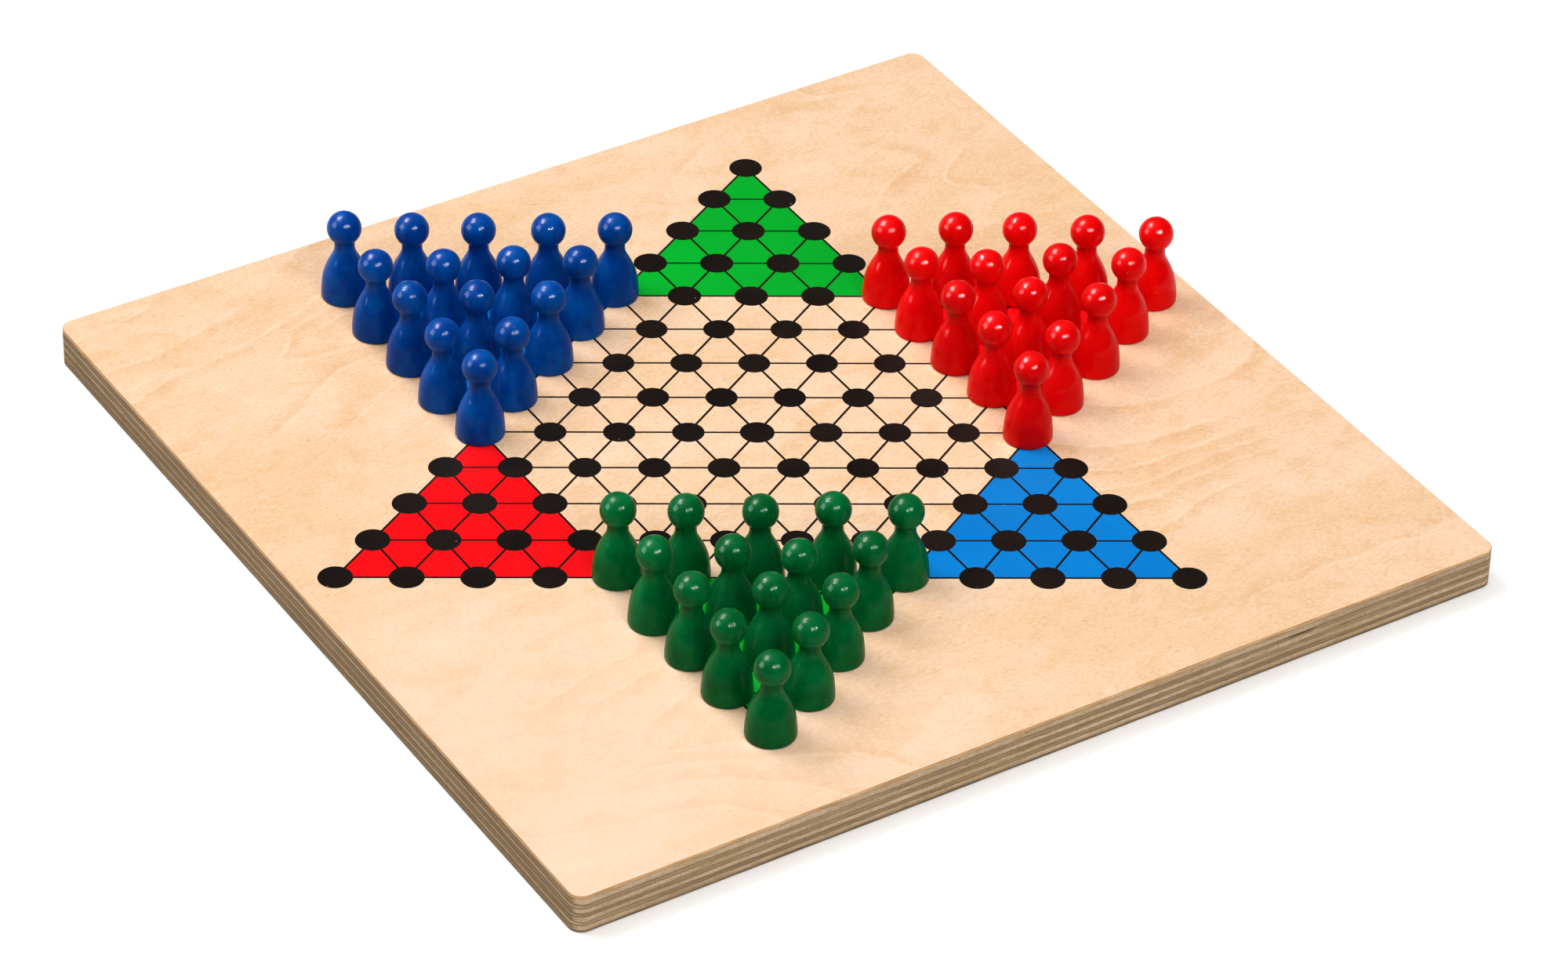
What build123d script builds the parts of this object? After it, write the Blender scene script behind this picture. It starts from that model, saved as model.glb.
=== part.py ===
from build123d import *
import os
from math import cos, radians, sin, sqrt

os.makedirs("parts", exist_ok=True)

# Chinese checkers board: a square of nine-ply birch plywood with eased edges,
# a six-pointed star printed on its face in three colours and black, and three
# sets of fifteen turned wooden pawns standing on their home triangles.
#
# Frame: millimetres, +Z up, origin at the centre of the board's underside.
# +Y runs along the grain of the face veneer, towards the red pawns.

# ---------------------------------------------------------------- dimensions
board_x = 290.0            # board across the face grain
board_y = 290.0            # board along the face grain
board_thickness = 12.0     # nominal thickness of the plywood
corner_radius = 4.0        # rounded corners, seen from above
face_ease = 0.35           # small rounding of the face veneer's top edge
back_ease = 0.25           # smaller chamfer around the back veneer

# height of each glue line above the underside, from the back veneer upwards
glue_lines = [1.02, 2.40, 3.66, 5.10, 6.36, 7.86, 9.18, 11.04]

spot_pitch = 19.12         # distance between neighbouring spots
home_spot_d = 9.64         # spots of the six star points, base rows included
field_spot_d = 9.05        # spots inside the central hexagon
centre_spot_d = 9.66       # the single spot in the middle
line_width = 0.70          # printed lines that join neighbouring spots
colour_film = 0.04         # thickness of the coloured ink
black_film = 0.06          # thickness of the black ink, which stands a little proud
print_turn = -0.28         # the print sits slightly turned on the board
print_x = -1.42            # and slightly off its centre
print_y = -0.95

head_r = 5.00              # ball head of a pawn
neck_r = 2.95              # its short neck
foot_r = 6.45              # flat of its foot
foot_round = 0.55          # rounding between the foot and the side
pawn_height = 27.23        # nominal height of a pawn

row_step = spot_pitch * sqrt(3) / 2


def on_board(a, b):
    """Position on the board of the lattice point a pitches along a row, b rows up."""
    u, v = a * spot_pitch, b * row_step
    t = radians(print_turn)
    return (print_x + u * cos(t) - v * sin(t), print_y + u * sin(t) + v * cos(t))


def finish(builder, name):
    builder.part.label = name
    export_step(builder.part, f"parts/{name}.step")


# ---------------------------------------------------------------- the plywood
# Nine veneers, glued with the grain crossed. Odd plies run along Y, even
# plies run along X.
ply_names = [
    "back_veneer", "cross_ply_8", "long_ply_7", "cross_ply_6", "core_ply_5",
    "cross_ply_4", "long_ply_3", "cross_ply_2", "face_veneer",
]
levels = [0.0] + glue_lines + [board_thickness]

for name, low, high in zip(ply_names, levels[:-1], levels[1:]):
    with BuildPart() as ply:
        with BuildSketch(Plane.XY.offset(low)):
            RectangleRounded(board_x, board_y, corner_radius)
        extrude(amount=high - low)
        if name == "face_veneer":
            fillet(ply.faces().sort_by(Axis.Z)[-1].outer_wire().edges(), face_ease)
        if name == "back_veneer":
            chamfer(ply.faces().sort_by(Axis.Z)[0].outer_wire().edges(), back_ease)
    finish(ply, name)

# ---------------------------------------------------------------- the print
# A lattice of 121 spots: a hexagon five spots to a side, with a triangle of
# ten more spots on each of its sides.
row_counts = [1, 2, 3, 4, 13, 12, 11, 10, 9, 10, 11, 12, 13, 4, 3, 2, 1]
spots = []
for row, count in enumerate(row_counts):
    for k in range(count):
        spots.append((k - (count - 1) / 2, 8 - row))


def ring(a, b):
    """Which hexagonal ring around the centre a lattice point lies on."""
    return max(abs(b), abs(a + b / 2), abs(a - b / 2))


field_spots = [on_board(a, b) for a, b in spots if 0 < ring(a, b) < 4]
home_spots = [on_board(a, b) for a, b in spots if ring(a, b) >= 4]

# the printed lines: fifteen in each of the three lattice directions
line_bars = {}
for quarter in (0, 60, 120):
    t = radians(quarter)
    for row, count in enumerate(row_counts):
        if count < 2:
            continue
        v = (8 - row) * row_step
        u0 = -v * sin(t)
        v0 = v * cos(t)
        x, y = on_board(u0 / spot_pitch, v0 / row_step)
        line_bars.setdefault(count - 1, []).append(
            Location((x, y, 0), (0, 0, quarter + print_turn))
        )

# the six home triangles: one tip spot and the two ends of its base row
tips = [(0, 8), (6, 4), (6, -4), (0, -8), (-6, -4), (-6, 4)]
bases = [
    ((-2, 4), (2, 4)), ((2, 4), (4, 0)), ((4, 0), (2, -4)),
    ((2, -4), (-2, -4)), ((-2, -4), (-4, 0)), ((-4, 0), (-2, 4)),
]
triangles = [
    [on_board(*tip), on_board(*base[0]), on_board(*base[1])]
    for tip, base in zip(tips, bases)
]
# opposite homes share a colour
print_colours = {
    "print_red": (triangles[0], triangles[3]),
    "print_blue": (triangles[1], triangles[4]),
    "print_green": (triangles[2], triangles[5]),
}

# black: every spot, and the lines that join them
with BuildPart() as print_black:
    with BuildSketch(Plane.XY.offset(board_thickness)) as black_pattern:
        for pitches, places in line_bars.items():
            with Locations(*places):
                Rectangle(pitches * spot_pitch, line_width)
        with Locations(*home_spots):
            Circle(home_spot_d / 2)
        with Locations(*field_spots):
            Circle(field_spot_d / 2)
        with Locations(on_board(0, 0)):
            Circle(centre_spot_d / 2)
    extrude(amount=black_film)
finish(print_black, "print_black")

# colour: what the black leaves free inside each home triangle
for name, pair in print_colours.items():
    with BuildPart() as colour_print:
        with BuildSketch(Plane.XY.offset(board_thickness)):
            for corners in pair:
                with BuildLine():
                    Polyline(*corners, close=True)
                make_face()
            add(black_pattern.sketch, mode=Mode.SUBTRACT)
        extrude(amount=colour_film)
    finish(colour_print, name)

# ---------------------------------------------------------------- the pawns
# Each row: the lattice point it stands on, how far off that spot's centre it
# was put down, and its own height. Number 01 stands on the tip of the star,
# 11 to 15 on the base row of the home.
pawn_places = {
    "red": [
        (0, 8, 0.58, -0.20, 27.37),
        (0.5, 7, 0.71, 0.20, 27.99),
        (-0.5, 7, -0.36, -0.08, 27.32),
        (1, 6, 1.26, -0.15, 27.70),
        (0, 6, -1.30, 1.26, 27.84),
        (-1, 6, -1.13, 0.15, 27.59),
        (1.5, 5, 1.14, -2.14, 27.14),
        (0.5, 5, -0.96, 1.29, 27.74),
        (-0.5, 5, -0.33, -1.21, 27.11),
        (-1.5, 5, -0.68, 0.92, 27.59),
        (2, 4, 0.46, -1.95, 27.80),
        (1, 4, -1.99, 0.29, 27.44),
        (0, 4, -0.73, -0.36, 27.38),
        (-1, 4, -0.60, -0.25, 27.36),
        (-2, 4, 0.21, 0.36, 27.23),
    ],
    "blue": [
        (-6, -4, -0.86, -0.76, 27.79),
        (-5.5, -3, -0.78, -0.82, 27.32),
        (-5, -4, 0.44, -1.80, 27.17),
        (-5, -2, -0.89, -1.02, 27.32),
        (-4.5, -3, -0.01, -1.57, 26.96),
        (-4, -4, 0.24, -1.24, 27.53),
        (-4.5, -1, -0.56, -0.44, 27.32),
        (-4, -2, -0.78, -0.57, 27.36),
        (-3.5, -3, -0.73, -1.15, 27.25),
        (-3, -4, 0.94, -1.88, 27.13),
        (-4, 0, -0.90, -0.51, 27.41),
        (-3.5, -1, -1.03, -0.74, 27.40),
        (-3, -2, -0.05, -0.48, 27.16),
        (-2.5, -3, 0.26, -1.21, 26.94),
        (-2, -4, 0.15, -0.33, 27.23),
    ],
    "green": [
        (6, -4, 0.16, -0.04, 26.48),
        (5, -4, -0.60, -1.20, 27.07),
        (5.5, -3, 1.54, 0.10, 26.84),
        (4, -4, 0.28, -1.38, 27.14),
        (4.5, -3, 1.04, -0.05, 26.92),
        (5, -2, 0.80, -0.76, 26.80),
        (3, -4, 1.46, -2.15, 27.49),
        (3.5, -3, 1.10, -0.11, 26.89),
        (4, -2, 1.52, -2.17, 26.56),
        (4.5, -1, -0.28, -1.38, 27.57),
        (2, -4, -1.06, -0.53, 27.11),
        (2.5, -3, -0.95, -1.77, 27.20),
        (3, -2, -0.52, -1.17, 27.18),
        (3.5, -1, -1.02, -0.54, 27.43),
        (4, 0, -0.51, -0.46, 27.11),
    ],
}

# side of a pawn from just above the foot to the neck: radius, height, for a
# pawn of the nominal height
side = [
    (7.00, 1.90), (6.83, 4.20), (6.50, 6.70), (5.78, 9.20), (4.83, 11.45),
    (3.82, 13.40), (3.15, 14.95), (neck_r, 16.10),
]

for colour, places in pawn_places.items():
    for number, (a, b, off_x, off_y, height) in enumerate(places, 1):
        x, y = on_board(a, b)
        x, y = x + off_x, y + off_y
        grow = (height - head_r) / (pawn_height - head_r)
        head_z = height - head_r
        neck_z = head_z - sqrt(head_r**2 - neck_r**2)
        stand = Plane(origin=(x, y, board_thickness + black_film), x_dir=(1, 0, 0), z_dir=(0, -1, 0))
        with BuildPart() as pawn:
            with BuildSketch(stand):
                with BuildLine():
                    Line((0, 0), (foot_r, 0))
                    ThreePointArc(
                        (foot_r, 0),
                        (foot_r + foot_round * 0.7071, foot_round * 0.2929),
                        (foot_r + foot_round, foot_round),
                    )
                    Spline(
                        (foot_r + foot_round, foot_round),
                        *[(r, z * grow) for r, z in side],
                        (neck_r, neck_z),
                        tangents=((0.03, 1), (0, 1)),
                    )
                    ThreePointArc((neck_r, neck_z), (head_r, head_z), (0, height))
                    Line((0, height), (0, 0))
                make_face()
            revolve(axis=Axis((x, y, 0), (0, 0, 1)))
        finish(pawn, f"{colour}_pawn_{number:02d}")
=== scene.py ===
"""Looks of the chinese checkers board: nine birch plies, four screen prints and forty-five lacquered pawns."""

import math

import bpy
import numpy as np
from mathutils import Matrix, Vector


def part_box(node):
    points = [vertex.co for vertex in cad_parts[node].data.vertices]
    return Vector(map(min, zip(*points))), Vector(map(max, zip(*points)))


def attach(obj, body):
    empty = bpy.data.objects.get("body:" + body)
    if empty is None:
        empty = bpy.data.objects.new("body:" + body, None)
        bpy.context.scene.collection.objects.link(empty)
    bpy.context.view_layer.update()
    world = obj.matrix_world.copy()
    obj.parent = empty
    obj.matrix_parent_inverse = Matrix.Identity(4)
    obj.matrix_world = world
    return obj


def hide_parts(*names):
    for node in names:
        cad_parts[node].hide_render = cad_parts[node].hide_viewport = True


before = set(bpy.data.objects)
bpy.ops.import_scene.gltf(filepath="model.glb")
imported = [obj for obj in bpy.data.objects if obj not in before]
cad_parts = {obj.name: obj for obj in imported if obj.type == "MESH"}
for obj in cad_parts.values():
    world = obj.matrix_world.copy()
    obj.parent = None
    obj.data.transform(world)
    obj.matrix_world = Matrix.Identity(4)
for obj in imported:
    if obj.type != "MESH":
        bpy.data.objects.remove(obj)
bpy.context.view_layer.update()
MM = 0.001

# ------------------------------------------------------------------ measures
SIDE = 290.0
HALF = SIDE / 2
CORNER = 4.0
LEVELS = [0.0, 1.02, 2.40, 3.66, 5.10, 6.36, 7.86, 9.18, 11.04, 12.0]
PLIES = [
    "back_veneer", "cross_ply_8", "long_ply_7", "cross_ply_6", "core_ply_5",
    "cross_ply_4", "long_ply_3", "cross_ply_2", "face_veneer",
]
PITCH = 19.12
ROW = PITCH * math.sqrt(3) / 2
TURN = math.radians(-0.28)
SHIFT = (-1.42, -0.95)
LINE_W = 0.70
BLACK_FILM = 0.06
COLOUR_FILM = 0.04
TOP = LEVELS[-1]
ROW_COUNTS = [1, 2, 3, 4, 13, 12, 11, 10, 9, 10, 11, 12, 13, 4, 3, 2, 1]

scene = bpy.context.scene


# ------------------------------------------------------------------ helpers
def make_mesh(name, verts, faces, smooth=True):
    me = bpy.data.meshes.new(name)
    me.from_pydata([tuple(v) for v in (np.asarray(verts, float) * MM)], [], faces)
    me.validate()
    if smooth:
        me.polygons.foreach_set("use_smooth", [True] * len(me.polygons))
    me.update()
    o = bpy.data.objects.new(name, me)
    scene.collection.objects.link(o)
    return o


def point_attribute(obj, name, values):
    at = obj.data.attributes.new(name, "FLOAT", "POINT")
    at.data.foreach_set("value", np.asarray(values, np.float32))


def face_smooth(obj, flags):
    obj.data.polygons.foreach_set("use_smooth", [bool(f) for f in flags])


class Waves:
    """A smooth repeatable noise: a sum of seeded sine waves."""

    def __init__(self, seed, lengths, n=7):
        r = np.random.RandomState(seed)
        self.k = 2 * np.pi / (r.uniform(0.75, 1.35, (len(lengths), n)) * np.array(lengths)[:, None])
        self.a = r.uniform(0, 2 * np.pi, (len(lengths), n))
        self.p = r.uniform(0, 2 * np.pi, (len(lengths), n))
        self.w = r.uniform(0.5, 1.0, (len(lengths), n)) / n ** 0.5

    def two(self, x, y, gains):
        out = np.zeros_like(np.asarray(x, float))
        for i, g in enumerate(gains):
            for k, a, p, w in zip(self.k[i], self.a[i], self.p[i], self.w[i]):
                out = out + g * w * np.sin(k * (x * np.cos(a) + y * np.sin(a)) + p)
        return out

    def one(self, s, total, gains):
        """Closed along a loop of that total length."""
        out = np.zeros_like(np.asarray(s, float))
        for i, g in enumerate(gains):
            for k, p, w in zip(self.k[i], self.p[i], self.w[i]):
                turns = max(1, round(k * total / (2 * np.pi)))
                out = out + g * w * np.sin(2 * np.pi * turns * s / total + p)
        return out


# ------------------------------------------------------------------ node helper
class Nodes:
    """A short way to write a material's node tree."""

    def __init__(self, name):
        self.mat = bpy.data.materials.new(name)
        self.mat.use_nodes = True
        self.t = self.mat.node_tree
        self.t.nodes.clear()
        self.out = self.t.nodes.new("ShaderNodeOutputMaterial")
        self.bsdf = self.t.nodes.new("ShaderNodeBsdfPrincipled")
        self.t.links.new(self.bsdf.outputs[0], self.out.inputs[0])
        self.coord = self.t.nodes.new("ShaderNodeTexCoord").outputs["Object"]

    def put(self, socket, value):
        if isinstance(value, bpy.types.NodeSocket):
            self.t.links.new(value, socket)
        elif value is not None:
            if hasattr(socket, "default_value") and not isinstance(value, (int, float)):
                n = len(socket.default_value)
                v = list(value)
                socket.default_value = v + [1.0] * (n - len(v)) if len(v) < n else v[:n]
            else:
                socket.default_value = value

    def math(self, op, a, b=None, c=None, clamp=False):
        n = self.t.nodes.new("ShaderNodeMath")
        n.operation = op
        n.use_clamp = clamp
        self.put(n.inputs[0], a)
        self.put(n.inputs[1], b)
        self.put(n.inputs[2], c)
        return n.outputs[0]

    def ramp(self, x, lo, hi, out_lo=0.0, out_hi=1.0, kind="SMOOTHSTEP"):
        n = self.t.nodes.new("ShaderNodeMapRange")
        n.interpolation_type = kind
        self.put(n.inputs["Value"], x)
        self.put(n.inputs["From Min"], lo)
        self.put(n.inputs["From Max"], hi)
        self.put(n.inputs["To Min"], out_lo)
        self.put(n.inputs["To Max"], out_hi)
        return n.outputs[0]

    def scaled(self, scale, shift=(0, 0, 0), turn=(0, 0, 0), source=None):
        n = self.t.nodes.new("ShaderNodeMapping")
        n.vector_type = "POINT"
        self.put(n.inputs["Vector"], source or self.coord)
        self.put(n.inputs["Scale"], scale)
        self.put(n.inputs["Location"], shift)
        self.put(n.inputs["Rotation"], turn)
        return n.outputs[0]

    def noise(self, vector, detail=2.0, rough=0.5, distortion=0.0, scale=1.0, kind="3D"):
        n = self.t.nodes.new("ShaderNodeTexNoise")
        n.noise_dimensions = kind
        self.put(n.inputs["Vector"], vector)
        self.put(n.inputs["Scale"], scale)
        self.put(n.inputs["Detail"], detail)
        self.put(n.inputs["Roughness"], rough)
        self.put(n.inputs["Distortion"], distortion)
        return n.outputs["Fac"] if "Fac" in n.outputs else n.outputs[0]

    def voronoi(self, vector, feature="F1", scale=1.0, randomness=1.0, out="Distance"):
        n = self.t.nodes.new("ShaderNodeTexVoronoi")
        n.feature = feature
        self.put(n.inputs["Vector"], vector)
        self.put(n.inputs["Scale"], scale)
        self.put(n.inputs["Randomness"], randomness)
        return n.outputs[out]

    def mix(self, fac, a, b, blend="MIX"):
        n = self.t.nodes.new("ShaderNodeMix")
        n.data_type = "RGBA"
        n.blend_type = blend
        n.clamp_factor = True
        self.put(n.inputs[0], fac)
        self.put(n.inputs[6], a)
        self.put(n.inputs[7], b)
        return n.outputs[2]

    def attr(self, name):
        n = self.t.nodes.new("ShaderNodeAttribute")
        n.attribute_type = "GEOMETRY"
        n.attribute_name = name
        return n.outputs["Fac"]

    def split(self, vector):
        n = self.t.nodes.new("ShaderNodeSeparateXYZ")
        self.put(n.inputs[0], vector)
        return n.outputs

    def bump(self, height, strength, distance, normal=None):
        n = self.t.nodes.new("ShaderNodeBump")
        self.put(n.inputs["Height"], height)
        self.put(n.inputs["Strength"], strength)
        self.put(n.inputs["Distance"], distance)
        if normal is not None:
            self.put(n.inputs["Normal"], normal)
        return n.outputs[0]

    def set(self, **values):
        for k, v in values.items():
            self.put(self.bsdf.inputs[k.replace("_", " ")], v)


def lin(r, g, b):
    """sRGB 0-255 to linear."""
    out = []
    for c in (r, g, b):
        c = c / 255
        out.append(c / 12.92 if c <= 0.04045 else ((c + 0.055) / 1.055) ** 2.4)
    return tuple(out) + (1.0,)


# ------------------------------------------------------------------ growth rings of the face
RING_LINES = [
    (3.0, [(-137.9, 104.9), (-135, 118.3), (-132.6, 124), (-126.4, 126.4), (-124, 130.7), (-120.7, 139.3),
           (-117.3, 129.8), (-114.5, 121.6), (-112.5, 119.7), (-107.8, 121.6), (-102, 127.8), (-96.7, 130.2),
           (-92.4, 126.9), (-87.7, 119.2), (-82.9, 114.5), (-78.6, 114.5), (-74.7, 118.3), (-70.9, 133.6)]),
    (2.0, [(-140.3, 82.9), (-136.5, 84.8), (-133.1, 96.3), (-129.8, 102), (-126.4, 99.1), (-120.2, 90),
           (-114.9, 87.2), (-108.7, 97.2), (-102, 108.7), (-98.2, 112.5), (-94.4, 112.1), (-90.5, 103.9),
           (-85.7, 95.3), (-80, 88.6), (-75.2, 84.8)]),
    (4.0, [(73.1, -76.9), (76.5, -88.4), (78.9, -99.9), (83.6, -107.6), (88.4, -110.9), (94.2, -114.3),
           (100.9, -114.3), (105.2, -110.4), (111.4, -96.1), (116.2, -83.6)]),
    (5.0, [(87.5, -77.9), (90.3, -84.6), (93.2, -92.2), (97, -98), (100.9, -99.4), (105.6, -96.1),
           (108.5, -88.4), (111.4, -77.9)]),
    (3.0, [(56.8, -94.2), (58.8, -88.4), (61.6, -82.7), (64, -79.3), (66.4, -83.6), (67.8, -92.2),
           (70.2, -102.8), (74.1, -115.2), (77.9, -131.5), (79.8, -137.2)]),
    (4.0, [(-142.2, -71.2), (-136.5, -81.7), (-129.8, -92.2), (-124, -103.7), (-120.2, -117.1), (-117.3, -129.6)]),
    (5.0, [(-120.7, -74.1), (-116.8, -81.7), (-113.5, -90.3), (-111.1, -98), (-108.7, -108.5), (-106.3, -120),
           (-105.4, -129.6)]),
    (6.0, [(-109.7, -88.4), (-103.9, -93.2), (-99.1, -98), (-95.3, -94.2), (-93.9, -83.6), (-92.9, -75)]),
    (7.0, [(-108.7, -74.1), (-106.8, -79.8), (-103.9, -84.6), (-100.1, -84.1), (-96.3, -76)]),
    (4.0, [(71.5, 142), (71, 128), (70.6, 112), (71.2, 96), (72, 80)]),
    (5.0, [(76.5, 142), (76, 126), (75.6, 108), (76.4, 90), (77.5, 72)]),
    (6.0, [(128.5, 140), (128, 120), (127.4, 100), (128, 80), (129, 60)]),
]


def thin_plate(points, values, smoothing):
    p = np.asarray(points, float) / 100
    v = np.asarray(values, float)
    n = len(p)
    d2 = ((p[:, None] - p[None]) ** 2).sum(-1)
    k = 0.5 * d2 * np.log(d2 + 1e-12)
    a = np.zeros((n + 3, n + 3))
    a[:n, :n] = k + smoothing * np.eye(n)
    a[:n, n] = 1
    a[:n, n + 1:] = p
    a[n:, :n] = a[:n, n:].T
    b = np.concatenate([v, np.zeros(3)])
    w = np.linalg.solve(a, b)

    def f(x, y):
        x, y = np.ravel(x) / 100, np.ravel(y) / 100
        out = w[n] + w[n + 1] * x + w[n + 2] * y
        for i in range(n):
            q = (x - p[i, 0]) ** 2 + (y - p[i, 1]) ** 2
            out = out + w[i] * 0.5 * q * np.log(q + 1e-12)
        return out

    return f


ring_points = [p for _, line in RING_LINES for p in line]
ring_values = [v for v, line in RING_LINES for _ in line]
ring_fit = thin_plate(ring_points, ring_values, 2e-5)
ring_waves = Waves(17, [95.0, 34.0])


def ring_height(x, y, seed_shift=0.0):
    # noise dies away near the drawn lines so that they stay where they were seen
    x, y = np.asarray(x, float), np.asarray(y, float)
    near = np.full(np.shape(x), 1e9)
    for px, py in ring_points:
        near = np.minimum(near, (x - px) ** 2 + (y - py) ** 2)
    away = 1 - np.exp(-near / (2 * 20.0 ** 2))
    wave = ring_waves.two(x + seed_shift, y * 0.38 + seed_shift, [0.55, 0.12])
    return ring_fit(x, y).reshape(np.shape(x)) + away * wave


def gradient(f, x, y, *more):
    e = 0.25
    gx = (f(x + e, y, *more) - f(x - e, y, *more)) / (2 * e)
    gy = (f(x, y + e, *more) - f(x, y - e, *more)) / (2 * e)
    return np.hypot(gx, gy)


# ------------------------------------------------------------------ outline of the board
def axis_lines(step):
    inner = HALF - CORNER
    n = int(round(2 * inner / step))
    core = np.linspace(-inner, inner, n + 1)
    corner = CORNER * np.sin(np.linspace(0, math.pi / 2, 9)[1:])
    # the lines past the straight part are spaced evenly out to the edge
    edge = inner + CORNER * np.linspace(0, 1, 9)[1:]
    return np.concatenate([-edge[::-1], core, edge])


def round_corners(x, y):
    """A square grid's points, with those in the four corner squares drawn in to the corner's arc."""
    inner = HALF - CORNER
    ax, ay = np.abs(x) - inner, np.abs(y) - inner
    both = (ax > 0) & (ay > 0)
    m = np.maximum(ax, ay)
    d = np.hypot(ax, ay)
    f = np.where(both & (d > 0), m / np.where(d > 0, d, 1), 1.0)
    nx = np.where(both, np.sign(x) * (inner + ax * f), x)
    ny = np.where(both, np.sign(y) * (inner + ay * f), y)
    return nx, ny


lines = axis_lines(1.45)
NL = len(lines)
gx, gy = np.meshgrid(lines, lines, indexing="ij")
gx, gy = round_corners(gx, gy)

# the loop of grid points round the outside, counter-clockwise from above
loop = ([(i, 0) for i in range(NL - 1)] + [(NL - 1, j) for j in range(NL - 1)]
        + [(i, NL - 1) for i in range(NL - 1, 0, -1)] + [(0, j) for j in range(NL - 1, 0, -1)])
LP = len(loop)
lx = np.array([gx[i, j] for i, j in loop])
ly = np.array([gy[i, j] for i, j in loop])
seg = np.hypot(np.roll(lx, -1) - lx, np.roll(ly, -1) - ly)
ls = np.concatenate([[0], np.cumsum(seg)[:-1]])
LOOP_LEN = seg.sum()
inner = HALF - CORNER
cx, cy = np.clip(lx, -inner, inner), np.clip(ly, -inner, inner)
nx, ny = lx - cx, ly - cy
nn = np.hypot(nx, ny)
nx, ny = nx / nn, ny / nn

# the glue lines wander a little up and down round the edge, and are shared by the plies they part
glue = []
for k, z in enumerate(LEVELS):
    if k in (0, len(LEVELS) - 1):
        glue.append(np.full(LP, z))
    else:
        w = Waves(100 + k, [150.0, 46.0, 15.0])
        big = 0.05 if k == 8 else 0.10
        glue.append(z + w.one(ls, LOOP_LEN, [big, 0.05, 0.03]))
# sanding leaves the softer plies a hair low, always inwards
sand = Waves(300, [60.0, 17.0])
SINK = 0.05


def side_offset(z_share, k):
    """How far inside the true outline this ply's edge sits at each point of the loop, mm."""
    base = 0.012 + 0.010 * (k % 2) + 0.012 * (1 + sand.one(ls + 17.0 * k, LOOP_LEN, [0.5, 0.35])) / 2
    return np.clip(base + 0.008 * (2 * z_share - 1) ** 2, 0.0, SINK)


def ply(k, rows=4):
    name = PLIES[k]
    face, back = name == "face_veneer", name == "back_veneer"
    along_y = name in ("face_veneer", "back_veneer", "long_ply_3", "core_ply_5", "long_ply_7")
    verts, faces, smooth = [], [], []
    end, vv, side = [], [], []
    grain_end = np.abs(ny) if along_y else np.abs(nx)

    def add_loop(off, z, share, is_side=1.0):
        first = len(verts)
        for i in range(LP):
            verts.append((lx[i] - nx[i] * off[i], ly[i] - ny[i] * off[i], z[i]))
        end.extend(grain_end)
        vv.extend([share] * LP)
        side.extend([is_side] * LP)
        return first

    loops = []
    z0, z1 = glue[k], glue[k + 1]
    if back:
        # small bevel of the bottom edge, slightly worn
        worn = 0.22 + 0.05 * sand.one(ls, LOOP_LEN, [0.6, 0.4])
        for t in (0.0, 0.5, 1.0):
            loops.append(add_loop(side_offset(0, k) + worn * (1 - t), z0 + worn * t, 0.25 * t))
        lows, highs = 0.25, 1.0
        shares = [0.5, 0.75, 1.0]
    elif face:
        shares = [0.0, 0.25, 0.5]
    else:
        shares = list(np.linspace(0, 1, rows))
    for t in shares:
        zz = z0 + (z1 - z0) * t
        loops.append(add_loop(side_offset(t, k), zz, t))
    if face:
        # eased top edge
        ease = 0.36 + 0.05 * sand.one(ls + 90, LOOP_LEN, [0.5, 0.5])
        for a in np.linspace(0, math.pi / 2, 6):
            off = side_offset(1, k) + ease * (1 - math.cos(a))
            loops.append(add_loop(off, z1 - ease * (1 - math.sin(a)), 0.62 + 0.38 * math.sin(a)))
    for a, b in zip(loops[:-1], loops[1:]):
        for i in range(LP):
            j = (i + 1) % LP
            faces.append((a + i, a + j, b + j, b + i))
            smooth.append(True)

    def cap(first, z_of, up, grid):
        """Closes the ply with a grid of faces: the grid's outer points are the loop's."""
        index = {}
        for n, (i, j) in enumerate(loop):
            index[(i, j)] = first + n
        if grid:
            ids = range(1, NL - 1)
            for i in ids:
                for j in ids:
                    index[(i, j)] = len(verts)
                    verts.append((gx[i, j], gy[i, j], z_of))
                    end.append(0.0)
                    vv.append(1.0 if up else 0.0)
                    side.append(0.0)
            for i in range(NL - 1):
                for j in range(NL - 1):
                    q = (index[(i, j)], index[(i + 1, j)], index[(i + 1, j + 1)], index[(i, j + 1)])
                    faces.append(q if up else q[::-1])
                    smooth.append(True)
        else:
            q = tuple(first + n for n in range(LP))
            faces.append(q if up else q[::-1])
            smooth.append(False)

    cap(loops[0], LEVELS[k], False, back)
    cap(loops[-1], LEVELS[k + 1], True, face)
    o = make_mesh("veneer_" + name if face or back else "ply_" + name, verts, faces)
    face_smooth(o, smooth)
    co = np.array(verts)
    point_attribute(o, "end", end)
    point_attribute(o, "vv", vv)
    point_attribute(o, "side", side)
    point_attribute(o, "ply", [k / 8.0] * len(verts))
    # growth-ring height over the face and back veneers, and its slope, for the ring lines of the wood
    if face or back:
        x, y = co[:, 0], co[:, 1]
        shift = 0.0 if face else 311.0
        f = (lambda a, b: ring_height(a, b)) if face else (lambda a, b: ring_height(-a * 0.9 + 21, b * 0.8 - 33, 150.0))
        point_attribute(o, "ring", f(x, y))
        point_attribute(o, "ring_slope", np.clip(gradient(f, x, y), 0.004, 1.0))
    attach(o, "board")
    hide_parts(name)
    return o


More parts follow.
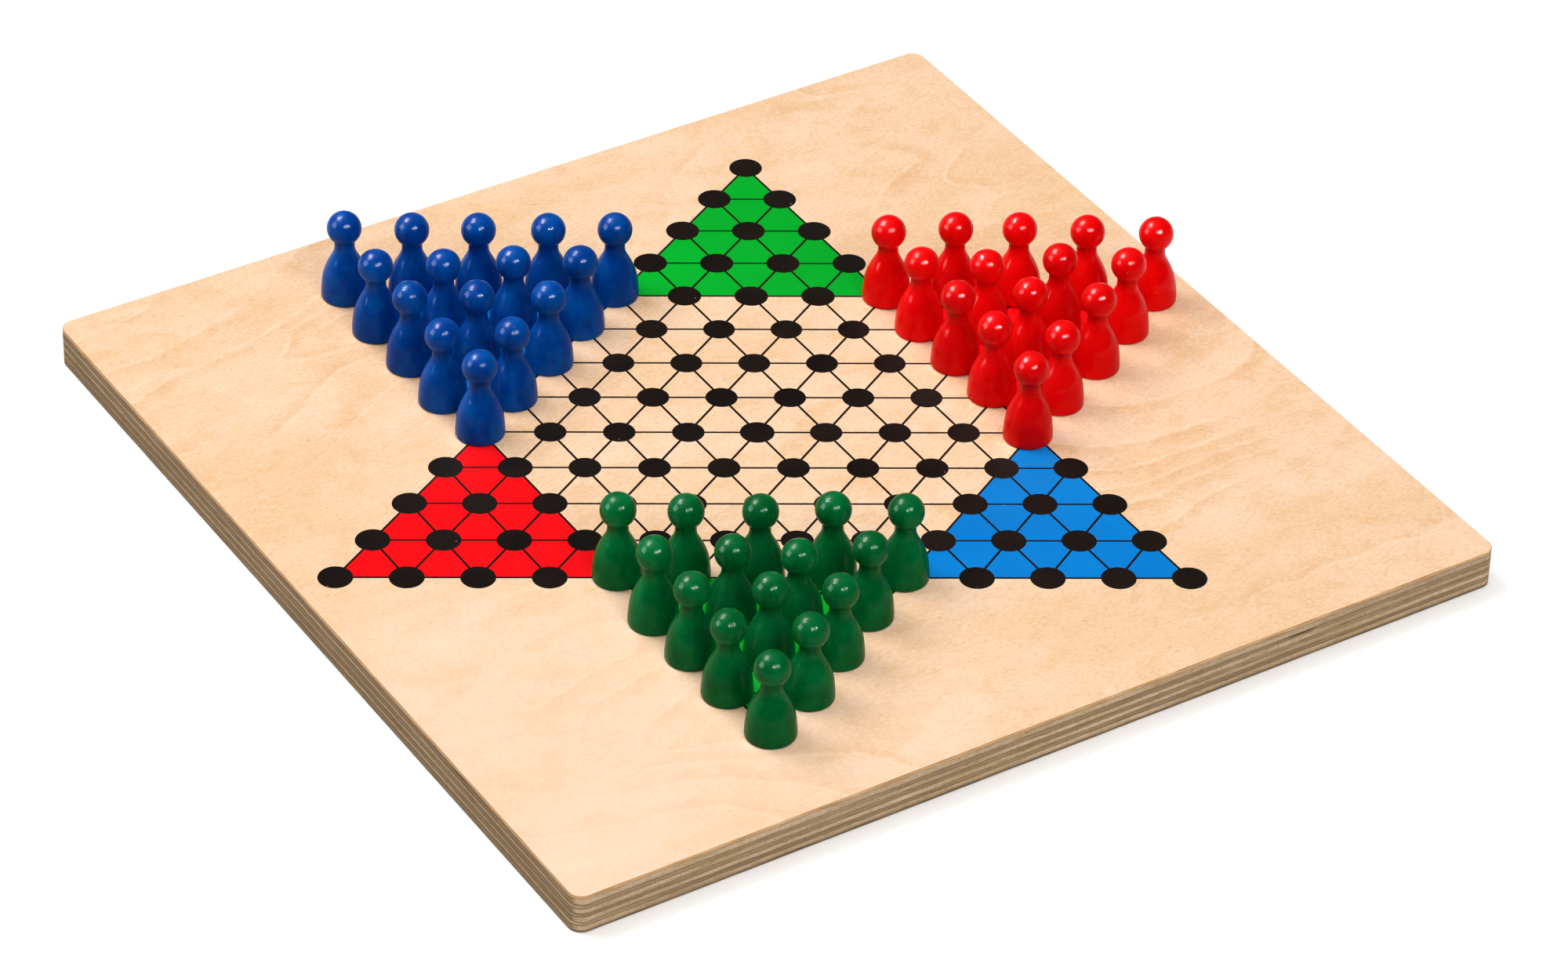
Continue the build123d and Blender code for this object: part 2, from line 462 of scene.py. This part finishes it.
# ------------------------------------------------------------------ wood materials
def face_wood():
    m = Nodes("birch_face")
    # cloudy figure, a little longer along the grain
    cloud = m.noise(m.scaled((26, 12, 26), (3.1, 1.7, 0)), 3.0, 0.55, 0.6)
    mottle = m.noise(m.scaled((125, 78, 125), (0.4, 7.7, 0)), 4.0, 0.62, 0.5)
    warm = m.noise(m.scaled((74, 40, 74), (9.3, 2.2, 0)), 3.0, 0.6, 0.9)
    base = m.mix(m.ramp(cloud, 0.32, 0.70), lin(237, 201, 168), lin(232, 191, 151))
    base = m.mix(m.math("MULTIPLY", m.ramp(mottle, 0.42, 0.72), 0.62), base, lin(224, 179, 133))
    base = m.mix(m.math("MULTIPLY", m.ramp(warm, 0.54, 0.76), 0.55), base, lin(226, 177, 122))
    base = m.mix(m.math("MULTIPLY", m.ramp(warm, 0.44, 0.24), 0.50), base, lin(240, 210, 181))
    # growth rings: a thin pale line with a tan band fading away from it on one side
    h = m.attr("ring")
    slope = m.attr("ring_slope")
    jitter = m.math("MULTIPLY", m.math("SUBTRACT", m.noise(m.scaled((260, 110, 260)), 3.0, 0.6), 0.5), 2.4)
    f = m.math("FRACT", m.math("ADD", h, m.math("MULTIPLY", slope, jitter)))
    near = m.math("DIVIDE", f, slope)
    far = m.math("DIVIDE", m.math("SUBTRACT", 1.0, f), slope)
    patch = m.ramp(m.noise(m.scaled((17, 12, 17), (5.5, 8.8, 0)), 2.0), 0.36, 0.60)
    fade = m.ramp(slope, 0.010, 0.040)
    worn = m.ramp(m.noise(m.scaled((300, 180, 300), (1, 2, 0)), 2.0), 0.30, 0.62, 0.35, 1.0)
    line = m.math("MULTIPLY", m.ramp(m.math("MINIMUM", near, far), 0.20, 1.10, 1.0, 0.0), m.math("MULTIPLY", worn, m.math("MULTIPLY", patch, fade)))
    band = m.math("MULTIPLY", m.ramp(near, 0.5, 7.0, 1.0, 0.0), m.math("MULTIPLY", m.math("MULTIPLY", patch, fade), m.ramp(mottle, 0.34, 0.66, 0.35, 1.0)))
    base = m.mix(m.math("MULTIPLY", band, 0.60), base, lin(218, 166, 116))
    base = m.mix(m.math("MULTIPLY", line, 0.50), base, lin(243, 212, 180))
    # short flecks of birch, a little longer along the grain
    fleck_n = m.noise(m.scaled((1900, 640, 1900), (1.3, 0.2, 0), (0, 0, 0.22)), 2.0, 0.65)
    base = m.mix(m.math("MULTIPLY", m.ramp(fleck_n, 0.50, 0.74), 0.44), base, lin(211, 163, 119))
    base = m.mix(m.math("MULTIPLY", m.ramp(fleck_n, 0.48, 0.28), 0.45), base, lin(249, 219, 188))
    fibre = m.noise(m.scaled((3400, 260, 3400), (0, 0, 0), (0, 0, 0.12)), 2.0, 0.6)
    base = m.mix(m.math("MULTIPLY", m.ramp(fibre, 0.48, 0.78), 0.22), base, lin(206, 154, 106))
    pore_n = m.voronoi(m.scaled((820, 330, 820), (4.0, 9.0, 0), (0, 0, 0.18)))
    pore_pick = m.split(m.voronoi(m.scaled((820, 330, 820), (4.0, 9.0, 0), (0, 0, 0.18)), out="Color"))[0]
    pore = m.math("MULTIPLY", m.ramp(pore_n, 0.10, 0.26, 1.0, 0.0), m.ramp(pore_pick, 0.72, 0.76))
    base = m.mix(m.math("MULTIPLY", pore, 0.34), base, lin(196, 144, 98))
    # painted light: the top is painted paler round the front corner, for the light that falls off towards the back,
    # patchy with the cloudy figure
    from_corner = m.t.nodes.new("ShaderNodeVectorMath")
    from_corner.operation = "DISTANCE"
    m.put(from_corner.inputs[0], m.coord)
    m.put(from_corner.inputs[1], (0.115, -0.130, 0.012))
    pale = m.math("MULTIPLY", m.ramp(from_corner.outputs["Value"], 0.02, 0.15, 1.0, 0.0), m.ramp(cloud, 0.25, 0.65, 1.0, 0.55))
    base = m.mix(m.math("MULTIPLY", pale, 0.55), base, lin(240, 207, 180))
    base = m.mix(1.0, base, (0.972, 1.0, 1.030, 1.0), "MULTIPLY")
    # the edge of this ply, seen from the side: a warm tan band on the face veneer; on the back veneer a dark grey-brown
    # band streaked like the grain, its darkness painted shade along the bottom of the board
    side = m.attr("side")
    streak = m.noise(m.scaled((90, 90, 1700), (0, 0, 2.2)), 4.0, 0.65)
    edge = m.mix(m.ramp(streak, 0.34, 0.66), lin(206, 166, 122), lin(170, 130, 88))
    under = m.mix(m.ramp(streak, 0.34, 0.66), lin(134, 114, 82), lin(98, 82, 58))
    edge = m.mix(m.ramp(m.attr("ply"), 0.4, 0.6), under, edge)
    edge_amount = m.math("MULTIPLY", side, m.ramp(m.attr("vv"), 0.93, 1.0, 1.0, 0.0))
    base = m.mix(edge_amount, base, edge)
    glue_dark = m.math("MULTIPLY", side, m.ramp(m.attr("vv"), 0.0, 0.16, 0.5, 0.0))
    base = m.mix(glue_dark, base, lin(104, 80, 58))
    height = m.math("ADD", m.math("MULTIPLY", fibre, 0.6), m.math("MULTIPLY", fleck_n, 0.5))
    m.set(
        Base_Color=base,
        Roughness=m.ramp(fibre, 0.2, 0.9, 0.46, 0.60, "LINEAR"),
        Specular_IOR_Level=0.12,
        Normal=m.bump(height, 0.10, 0.00025),
    )
    return m.mat


def edge_wood(name, end_light, end_dark, long_light, long_dark, seed, thin_light=None):
    """Plywood edge: end grain is light and speckled, long grain dark and streaked along the edge."""
    m = Nodes(name)
    end = m.ramp(m.attr("end"), 0.25, 0.75)
    vv = m.attr("vv")
    ply_share = m.attr("ply")
    s = seed * 3.7
    shifted = m.t.nodes.new("ShaderNodeCombineXYZ")
    m.put(shifted.inputs[2], m.math("MULTIPLY", ply_share, 7.0))
    add = m.t.nodes.new("ShaderNodeVectorMath")
    add.operation = "ADD"
    m.put(add.inputs[0], m.coord)
    m.put(add.inputs[1], shifted.outputs[0])
    place = add.outputs[0]
    # long grain: soft streaks that run along the edge, and darker broken dashes
    long_a = m.noise(m.scaled((36, 36, 1500), (s, 0, 0), source=place), 4.0, 0.65, 0.3)
    long_b = m.noise(m.scaled((210, 210, 3600), (0, s, 0), source=place), 3.0, 0.62)
    long_c = m.noise(m.scaled((80, 80, 1300), (s, s, 1), source=place), 3.0, 0.7, 0.6)
    long_col = m.mix(m.ramp(long_a, 0.28, 0.72), long_light, long_dark)
    long_col = m.mix(m.math("MULTIPLY", m.ramp(long_b, 0.50, 0.70), 0.55), long_col, lin(96, 74, 52))
    long_col = m.mix(m.math("MULTIPLY", m.ramp(long_c, 0.56, 0.70), 0.45), long_col, lin(186, 156, 118))
    # end grain: fine speckle with short dashes
    end_a = m.noise(m.scaled((60, 60, 700), (s, s, 0), source=place), 3.0, 0.6, 0.4)
    end_b = m.noise(m.scaled((1900, 1900, 2600), (0, 0, s), source=place), 2.0, 0.6)
    dash = m.noise(m.scaled((420, 420, 3600), (s, 1, 2), source=place), 2.0, 0.5)
    olive = m.noise(m.scaled((30, 30, 260), (1, s, 4), source=place), 3.0, 0.6)
    end_col = m.mix(m.ramp(end_a, 0.30, 0.70), end_light, end_dark)
    end_col = m.mix(m.math("MULTIPLY", m.ramp(olive, 0.46, 0.68), 0.55), end_col, lin(172, 145, 98))
    if thin_light is not None:
        # only the heart of the thin plies shows as a light line on the short-grain sides
        off = m.math("ABSOLUTE", m.math("SUBTRACT", m.math("ADD", vv, m.math("MULTIPLY", m.math("SUBTRACT", end_a, 0.5), 0.5)), 0.5))
        end_col = m.mix(m.ramp(off, 0.10, 0.34, 0.0, 1.0), end_col, thin_light)
    end_col = m.mix(m.math("MULTIPLY", m.ramp(end_b, 0.45, 0.75), 0.36), end_col, lin(112, 86, 60))
    end_col = m.mix(m.math("MULTIPLY", m.ramp(dash, 0.58, 0.72), 0.55), end_col, lin(108, 80, 56))
    col = m.mix(end, long_col, end_col)
    # slow change of tone round the board
    tone = m.noise(m.scaled((14, 14, 120), (s + 4, 1, 0), source=place), 2.0)
    col = m.mix(m.math("MULTIPLY", m.ramp(tone, 0.35, 0.68), 0.26), col, lin(96, 74, 54))
    # gritty saw marks across the edge
    grit = m.noise(m.scaled((1500, 1500, 700), (2, 2, s)), 2.0, 0.7)
    col = m.mix(m.math("MULTIPLY", m.ramp(grit, 0.50, 0.78), 0.30), col, lin(90, 68, 46))
    # knots and gaps: rare dark spots
    hole = m.voronoi(m.scaled((19, 19, 310), (s, 3.3, 0.7), source=place))
    col = m.mix(m.math("MULTIPLY", m.ramp(hole, 0.05, 0.13, 1.0, 0.0), 0.78), col, lin(58, 38, 26))
    # glue lines
    low = m.ramp(vv, 0.0, 0.13, 1.0, 0.0)
    high = m.ramp(vv, 0.90, 1.0, 0.0, 1.0)
    glue_break = m.ramp(m.noise(m.scaled((110, 110, 110), source=place), 3.0, 0.6), 0.30, 0.62, 0.10, 0.60)
    col = m.mix(m.math("MULTIPLY", m.math("MAXIMUM", low, high), glue_break), col, lin(88, 66, 46))
    height = m.math("ADD", m.math("MULTIPLY", long_b, 0.5), m.math("MULTIPLY", end_b, 0.5))
    m.set(
        Base_Color=col,
        Roughness=m.ramp(end_b, 0.2, 0.8, 0.66, 0.80, "LINEAR"),
        Specular_IOR_Level=0.15,
        Normal=m.bump(height, 0.35, 0.00012),
    )
    return m.mat


face_mat = face_wood()
cross_mat = edge_wood("birch_cross_ply", lin(204, 179, 148), lin(184, 157, 124), lin(150, 123, 90), lin(124, 98, 68), 1.0)
long_mat = edge_wood("birch_long_ply", lin(196, 170, 134), lin(178, 151, 115), lin(166, 138, 106), lin(142, 116, 86), 2.0, lin(142, 116, 84))

for k, name in enumerate(PLIES):
    o = ply(k)
    o.data.materials.append(
        face_mat if name in ("face_veneer", "back_veneer") else (cross_mat if name.startswith("cross") else long_mat)
    )


# ------------------------------------------------------------------ the prints
def on_board(a, b):
    u, v = a * PITCH, b * ROW
    c, s = math.cos(TURN), math.sin(TURN)
    return np.array([u * c - v * s + SHIFT[0], u * s + v * c + SHIFT[1]])


def ring_of(a, b):
    return max(abs(b), abs(a + b / 2), abs(a - b / 2))


spots = []
for row, count in enumerate(ROW_COUNTS):
    for k in range(count):
        spots.append((k - (count - 1) / 2, 8 - row))


def spot_radius(a, b):
    if (a, b) == (0, 0):
        return 9.66 / 2
    return (9.64 if ring_of(a, b) >= 4 else 9.05) / 2


def prism(outline, z0, z1, verts, faces, crown=0.0):
    """A closed flat piece of that outline, counter-clockwise from above, its top edge eased by crown."""
    n = len(outline)
    first = len(verts)
    centre = outline.mean(0)
    for p in outline:
        verts.append((p[0], p[1], z0))
    for p in outline:
        verts.append((p[0], p[1], z1 - crown))
    bottom = tuple(first + i for i in range(n))
    faces.append(bottom[::-1])
    for i in range(n):
        j = (i + 1) % n
        faces.append((first + i, first + j, first + n + j, first + n + i))
    if crown:
        d = outline - centre
        inset = outline - d / np.hypot(d[:, 0], d[:, 1])[:, None] * crown * 1.5
        for p in inset:
            verts.append((p[0], p[1], z1))
        for i in range(n):
            j = (i + 1) % n
            faces.append((first + n + i, first + n + j, first + 2 * n + j, first + 2 * n + i))
        faces.append(tuple(first + 2 * n + i for i in range(n)))
    else:
        faces.append(tuple(first + n + i for i in range(n)))


STEPS = [(1, 0), (0.5, 1), (-0.5, 1)]
spot_set = set(spots)


def black_print():
    verts, faces = [], []
    rnd = np.random.RandomState(5)
    for a, b in spots:
        c = on_board(a, b)
        r = spot_radius(a, b)
        t = np.linspace(0, 2 * np.pi, 97)[:-1]
        # a screen print's edge isn't a perfect circle
        p1, p2 = rnd.uniform(0, 2 * np.pi, 2)
        wob = 1 - 0.0030 * (1 + np.sin(3 * t + p1)) / 2 - 0.0025 * (1 + np.sin(7 * t + p2)) / 2
        prism(np.stack([c[0] + r * wob * np.cos(t), c[1] + r * wob * np.sin(t)], 1), TOP, TOP + BLACK_FILM, verts, faces, 0.012)
    for a, b in spots:
        for da, db in STEPS:
            if (a + da, b + db) not in spot_set:
                continue
            p, q = on_board(a, b), on_board(a + da, b + db)
            d = (q - p) / np.hypot(*(q - p))
            n = np.array([-d[1], d[0]])
            p = p + d * (spot_radius(a, b) - 0.12)
            q = q - d * (spot_radius(a + da, b + db) - 0.12)
            m = 12
            along = np.linspace(0, 1, m + 1)
            w1 = LINE_W / 2 * (1 - 0.06 * rnd.uniform(0, 1, m + 1))
            w2 = LINE_W / 2 * (1 - 0.06 * rnd.uniform(0, 1, m + 1))
            low = [p + (q - p) * s - n * w for s, w in zip(along, w1)]
            high = [p + (q - p) * s + n * w for s, w in zip(along[::-1], w2)]
            prism(np.array(low + high), TOP, TOP + BLACK_FILM - 0.006, verts, faces)
    o = make_mesh("ink_black_pattern", verts, faces, smooth=False)
    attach(o, "board")
    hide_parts("print_black")
    return o


TRIANGLES = {
    "print_red": [((0, 8), (-2, 4), (2, 4)), ((0, -8), (2, -4), (-2, -4))],
    "print_blue": [((6, 4), (2, 4), (4, 0)), ((-6, -4), (-2, -4), (-4, 0))],
    "print_green": [((6, -4), (4, 0), (2, -4)), ((-6, 4), (-4, 0), (-2, 4))],
}


def inside_triangle(p, tri):
    (x1, y1), (x2, y2), (x3, y3) = tri
    d = (y2 - y3) * (x1 - x3) + (x3 - x2) * (y1 - y3)
    a = ((y2 - y3) * (p[0] - x3) + (x3 - x2) * (p[1] - y3)) / d
    b = ((y3 - y1) * (p[0] - x3) + (x1 - x3) * (p[1] - y3)) / d
    return min(a, b, 1 - a - b) > 0.01


def cell_outline(corners, tuck=0.10):
    """The patch between three spots and the lines that join them, tucked a little under the black."""
    pts = [on_board(*c) for c in corners]
    if np.cross(pts[1] - pts[0], pts[2] - pts[0]) < 0:
        pts, corners = pts[::-1], corners[::-1]
    inset = LINE_W / 2 - tuck
    out = []
    for i in range(3):
        c = pts[i]
        r = spot_radius(*corners[i]) - tuck
        to_next = pts[(i + 1) % 3] - c
        to_prev = pts[(i + 2) % 3] - c
        skew = math.asin(inset / r)
        a0 = math.atan2(to_prev[1], to_prev[0]) - skew
        a1 = math.atan2(to_next[1], to_next[0]) + skew
        while a1 > a0:
            a1 -= 2 * math.pi
        while a0 - a1 > math.pi:
            a1 += 2 * math.pi
        for t in np.linspace(a0, a1, 13):
            out.append(c + r * np.array([math.cos(t), math.sin(t)]))
    return np.array(out)


def colour_print(name):
    verts, faces = [], []
    for tri in TRIANGLES[name]:
        for a, b in spots:
            for corners in ([(a, b), (a + 1, b), (a + 0.5, b + 1)], [(a, b), (a + 0.5, b - 1), (a + 1, b)]):
                if not all(c in spot_set for c in corners):
                    continue
                mid = (sum(c[0] for c in corners) / 3, sum(c[1] for c in corners) / 3)
                if inside_triangle(mid, tri):
                    prism(cell_outline(corners), TOP, TOP + COLOUR_FILM, verts, faces)
    o = make_mesh("ink_" + name[6:] + "_triangles", verts, faces, smooth=False)
    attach(o, "board")
    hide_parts(name)
    return o


def ink(name, colour, deep, rough, dust):
    m = Nodes(name)
    cloud = m.noise(m.scaled((34, 20, 34), (2.0, 5.0, 0)), 3.0, 0.6)
    grain = m.noise(m.scaled((1800, 240, 1800)), 2.0, 0.6)
    col = m.mix(m.math("MULTIPLY", m.ramp(cloud, 0.35, 0.70), 0.8), colour, deep)
    col = m.mix(m.math("MULTIPLY", m.ramp(grain, 0.45, 0.8), 0.30), col, deep)
    speck = m.voronoi(m.scaled((330, 330, 330), (7.7, 1.1, 0)))
    pick = m.voronoi(m.scaled((330, 330, 330), (7.7, 1.1, 0)), out="Color")
    rare = m.ramp(m.split(pick)[0], 0.80, 0.82)
    spot = m.math("MULTIPLY", m.math("MULTIPLY", m.ramp(speck, 0.035, 0.085, 1.0, 0.0), rare), dust)
    col = m.mix(spot, col, lin(196, 184, 170))
    m.set(
        Base_Color=col,
        Roughness=m.ramp(cloud, 0.2, 0.8, rough, rough + 0.10, "LINEAR"),
        Specular_IOR_Level=0.10,
        Normal=m.bump(grain, 0.08, 0.0002),
    )
    return m.mat


black = black_print()
black.data.materials.append(ink("black_ink", lin(20, 15, 13), lin(30, 24, 20), 0.44, 0.55))
for name, slot, c, d in (
    ("print_red", "red_ink", lin(238, 8, 18), lin(228, 6, 14)),
    ("print_blue", "blue_ink", lin(0, 122, 202), lin(0, 112, 190)),
    ("print_green", "green_ink", lin(0, 168, 42), lin(0, 156, 36)),
):
    o = colour_print(name)
    o.data.materials.append(ink(slot, c, d, 0.42, 0.10))

# ------------------------------------------------------------------ the pawns
HEAD_R = 5.00
NECK_R = 2.95
FOOT_R = 6.45
FOOT_ROUND = 0.55
NOMINAL = 27.23
SIDE_PTS = [(7.00, 1.90), (6.83, 4.20), (6.50, 6.70), (5.78, 9.20), (4.83, 11.45), (3.82, 13.40), (3.15, 14.95), (NECK_R, 16.10)]


def pawn_profile(height):
    """(radius, height) from the middle of the foot to the top of the head."""
    grow = (height - HEAD_R) / (NOMINAL - HEAD_R)
    head_z = height - HEAD_R
    neck_z = head_z - math.sqrt(HEAD_R ** 2 - NECK_R ** 2)
    out = [(0.0, 0.0), (2.2, 0.0), (4.4, 0.0), (FOOT_R, 0.0)]
    for a in np.linspace(-math.pi / 2, 0, 7)[1:]:
        out.append((FOOT_R + FOOT_ROUND * math.cos(a), FOOT_ROUND + FOOT_ROUND * math.sin(a)))
    knots = [(FOOT_R + FOOT_ROUND, FOOT_ROUND)] + [(r, z * grow) for r, z in SIDE_PTS] + [(NECK_R, neck_z)]
    kz = np.array([k[1] for k in knots])
    kr = np.array([k[0] for k in knots])
    # natural cubic through the same points as the solid
    n = len(kz)
    h = np.diff(kz)
    a = np.zeros((n, n))
    b = np.zeros(n)
    a[0, 0], a[0, 1] = 2 * h[0], h[0]
    b[0] = 6 * ((kr[1] - kr[0]) / h[0] - 0.03)
    a[-1, -1], a[-1, -2] = 2 * h[-1], h[-1]
    b[-1] = 6 * (0.0 - (kr[-1] - kr[-2]) / h[-1])
    for i in range(1, n - 1):
        a[i, i - 1], a[i, i], a[i, i + 1] = h[i - 1], 2 * (h[i - 1] + h[i]), h[i]
        b[i] = 6 * ((kr[i + 1] - kr[i]) / h[i] - (kr[i] - kr[i - 1]) / h[i - 1])
    mm = np.linalg.solve(a, b)
    for z in np.linspace(kz[0], kz[-1], 39)[1:-1]:
        i = min(max(np.searchsorted(kz, z) - 1, 0), n - 2)
        d0, d1 = z - kz[i], kz[i + 1] - z
        r = (mm[i] * d1 ** 3 + mm[i + 1] * d0 ** 3) / (6 * h[i]) + (kr[i] / h[i] - mm[i] * h[i] / 6) * d1 + (
            kr[i + 1] / h[i] - mm[i + 1] * h[i] / 6) * d0
        out.append((r, z))
    # the crease under the head holds a little bead of lacquer
    start = -math.acos(NECK_R / HEAD_R)
    out.append((NECK_R + 0.03, neck_z - 0.10))
    for t in np.linspace(start, math.pi / 2, 34):
        out.append((HEAD_R * math.cos(t), head_z + HEAD_R * math.sin(t)))
    out[-1] = (0.0, height)
    return np.array(out)


def pawn(node, seed):
    lo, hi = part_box(node)
    x, y = (lo.x + hi.x) / 2 / MM, (lo.y + hi.y) / 2 / MM
    z0, height = lo.z / MM, (hi.z - lo.z) / MM
    r = np.random.RandomState(seed)
    prof = pawn_profile(height)
    seg_n = 72
    ang = np.linspace(0, 2 * np.pi, seg_n + 1)[:-1]
    # turned wood is never quite round once it has dried, and the lacquer lies a little uneven on it
    p1, p2, p3 = r.uniform(0, 2 * np.pi, 3)
    oval = 1 - 0.004 * (1 + np.cos(2 * (ang - p1))) / 2
    verts, faces, neck_and_foot_shade = [], [], []
    neck_z = height - HEAD_R - math.sqrt(HEAD_R ** 2 - NECK_R ** 2)
    wave = Waves(1000 + seed, [2.4, 5.5])
    for k, (rad, z) in enumerate(prof):
        if rad <= 1e-6:
            verts.append((x, y, z0 + z))
            neck_and_foot_shade.append(0.0)
            continue
        tool = 0.0
        if FOOT_ROUND < z < height - 0.6:
            tool = -0.010 * (1 + float(wave.two(z, 0.0, [0.6, 0.5]))) / 2 - 0.002
        for i, t in enumerate(ang):
            q = (rad + tool) * oval[i]
            verts.append((x + q * math.cos(t), y + q * math.sin(t), z0 + z))
        # painted shade: darker under the head and round the bottom edge of the foot
        c = max(0.7 * math.exp(-((z - neck_z + 0.3) / 1.1) ** 2), 0.9 * math.exp(-(z / 0.45) ** 2))
        neck_and_foot_shade.extend([c] * seg_n)
    m = len(prof)
    rings = [1 + seg_n * k for k in range(m - 2)]
    top = len(verts) - 1
    for i in range(seg_n):
        j = (i + 1) % seg_n
        faces.append((0, rings[0] + j, rings[0] + i))
        faces.append((rings[-1] + i, rings[-1] + j, top))
    for a, b in zip(rings[:-1], rings[1:]):
        for i in range(seg_n):
            j = (i + 1) % seg_n
            faces.append((a + i, a + j, b + j, b + i))
    o = make_mesh("turned_" + node, verts, faces)
    flags = []
    for f in faces:
        flags.append(max(verts[v][2] for v in f) > z0 + 1e-4)
    face_smooth(o, flags)
    point_attribute(o, "neck_and_foot_shade", neck_and_foot_shade)
    point_attribute(o, "shade", [r.uniform(0, 1)] * len(verts))
    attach(o, node)
    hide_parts(node)
    node.split("_")[0] + "_lacquer"
    return o


def lacquer(name, main, deep, bright):
    m = Nodes(name)
    cloud = m.noise(m.scaled((180, 180, 110)), 3.0, 0.6)
    fine = m.noise(m.scaled((1500, 1500, 1500)), 3.0, 0.65)
    lathe = m.noise(m.scaled((60, 60, 3400)), 2.0, 0.5)
    brush = m.noise(m.scaled((260, 260, 5200), (3, 1, 2)), 2.0, 0.6)
    col = m.mix(m.ramp(cloud, 0.35, 0.68), main, bright)
    col = m.mix(m.math("MULTIPLY", m.ramp(m.attr("shade"), 0.0, 1.0, 0.0, 1.0, "LINEAR"), 0.25), col, deep)
    col = m.mix(m.math("MULTIPLY", m.ramp(lathe, 0.50, 0.78), 0.16), col, deep)
    col = m.mix(m.math("MULTIPLY", m.ramp(fine, 0.54, 0.80), 0.22), col, deep)
    # painted shade under the head and at the foot's bottom edge
    col = m.mix(m.math("MULTIPLY", m.attr("neck_and_foot_shade"), 0.55), col, deep)
    # pinholes and dust caught in the lacquer
    place = m.scaled((420, 420, 420))
    cell = m.voronoi(place)
    pick = m.split(m.voronoi(place, out="Color"))
    pin = m.math("MULTIPLY", m.ramp(cell, 0.04, 0.10, 1.0, 0.0), m.ramp(pick[0], 0.90, 0.92))
    col = m.mix(m.math("MULTIPLY", pin, 0.60), col, deep)
    dust = m.math("MULTIPLY", m.ramp(cell, 0.03, 0.08, 1.0, 0.0), m.ramp(pick[1], 0.95, 0.96))
    col = m.mix(m.math("MULTIPLY", dust, 0.45), col, lin(176, 170, 130))
    height = m.math("ADD", m.math("MULTIPLY", brush, 0.55), m.math("MULTIPLY", fine, 0.30))
    bump = m.bump(height, 0.30, 0.00006)
    m.set(
        Base_Color=col,
        Roughness=m.ramp(cloud, 0.2, 0.8, 0.36, 0.44, "LINEAR"),
        Specular_IOR_Level=0.025,
        Specular_Tint=bright,
        Coat_Weight=0.40,
        Coat_Roughness=0.065,
        Coat_IOR=1.25,
        Normal=bump,
        Coat_Normal=bump,
    )
    return m.mat


LACQUERS = {
    "red": lacquer("red_lacquer", lin(223, 1, 3), lin(122, 0, 0), lin(232, 6, 8)),
    "blue": lacquer("blue_lacquer", lin(0, 56, 136), lin(0, 15, 70), lin(0, 74, 156)),
    "green": lacquer("green_lacquer", lin(0, 88, 38), lin(0, 32, 8), lin(0, 102, 50)),
}
lacquered = bpy.data.collections.new("lacquered")
for c, colour in enumerate(("red", "blue", "green")):
    for n in range(1, 16):
        o = pawn(f"{colour}_pawn_{n:02d}", 40 * c + n)
        lacquered.objects.link(o)
        o.data.materials.append(LACQUERS[colour])

# ------------------------------------------------------------------ floor, light and camera
floor_mat = Nodes("floor")
floor_tone = floor_mat.noise(floor_mat.scaled((2, 2, 2)), 2.0)
floor_mat.set(
    Base_Color=floor_mat.mix(floor_tone, (0.93, 0.93, 0.93, 1), (0.95, 0.95, 0.95, 1)),
    Roughness=0.9,
    Specular_IOR_Level=0.1,
    Emission_Color=(1, 1, 1, 1),
    Emission_Strength=0.14,
)
bpy.ops.mesh.primitive_plane_add(size=12, location=(0, 0, 0))
floor = bpy.context.object
floor.name = "floor"
floor.data.materials.append(floor_mat.mat)

# the camera's own axes, in the board's frame
RIGHT = Vector((0.5293126, 0.8480862, 0.0240419))
UP = Vector((-0.5158660, 0.2992096, 0.8027178))
BACK = Vector((0.6735803, -0.4372911, 0.5958742))


def area(name, direction, distance, size, power, colour=(1, 1, 1)):
    d = Vector(direction).normalized()
    light = bpy.data.lights.new(name, "AREA")
    light.shape = "RECTANGLE"
    light.size, light.size_y = size
    light.energy = power
    light.color = colour
    o = bpy.data.objects.new(name, light)
    scene.collection.objects.link(o)
    z = d
    x = Vector((0, 0, 1)).cross(z).normalized()
    y = z.cross(x)
    o.matrix_world = Matrix.Translation(d * distance) @ Matrix((x, y, z)).transposed().to_4x4()
    return o


# soft boxes light the wood; their reflections come from lamps of their own, that only show in the lacquer
KEY = (-0.4477, -0.3021, 0.8414)
FRONT = (0.7183, -0.0858, 0.6892)
WINDOW = (-0.3623, -0.8371, 0.4080)
for lamp in (
    area("key", KEY, 1.7, (1.00, 0.74), 17, (1.0, 0.99, 0.975)),
    area("front", FRONT, 1.9, (1.10, 0.70), 18.5, (1.0, 0.99, 0.98)),
    area("overhead", (-0.15, 0.05, 1.0), 2.6, (3.4, 3.4), 42, (1.0, 0.995, 0.99)),
):
    lamp.visible_glossy = False
modelling = area("modelling", (-0.70, -0.30, 0.65), 1.5, (0.7, 0.6), 9, (1.0, 1.0, 1.0))
modelling.visible_glossy = False
modelling.light_linking.receiver_collection = lacquered
for lamp in (
    area("key_glint", KEY, 1.7, (0.86, 0.58), 760, (1.0, 1.0, 1.0)),
    area("front_glint", FRONT, 1.9, (1.16, 0.48), 820, (1.0, 1.0, 1.0)),
    area("window_glint", WINDOW, 1.7, (0.9, 0.8), 50, (0.9, 1.0, 1.0)),
):
    lamp.visible_diffuse = False
    lamp.light_linking.receiver_collection = lacquered

world = bpy.data.worlds.new("studio")
scene.world = world
world.use_nodes = True
bg = world.node_tree.nodes["Background"]
bg.inputs["Color"].default_value = (1.0, 1.0, 1.0, 1)
bg.inputs["Strength"].default_value = 0.10

camera_data = bpy.data.cameras.new("camera")
camera_data.lens = 137.049
camera_data.sensor_width = 36
camera_data.sensor_fit = "HORIZONTAL"
camera_data.clip_start = 0.01
camera = bpy.data.objects.new("camera", camera_data)
scene.collection.objects.link(camera)
camera.matrix_world = Matrix.Translation((1.1254573, -0.7231163, 0.9858554)) @ Matrix((RIGHT, UP, BACK)).transposed().to_4x4()
scene.camera = camera

scene.view_settings.view_transform = "Standard"
scene.view_settings.look = "None"
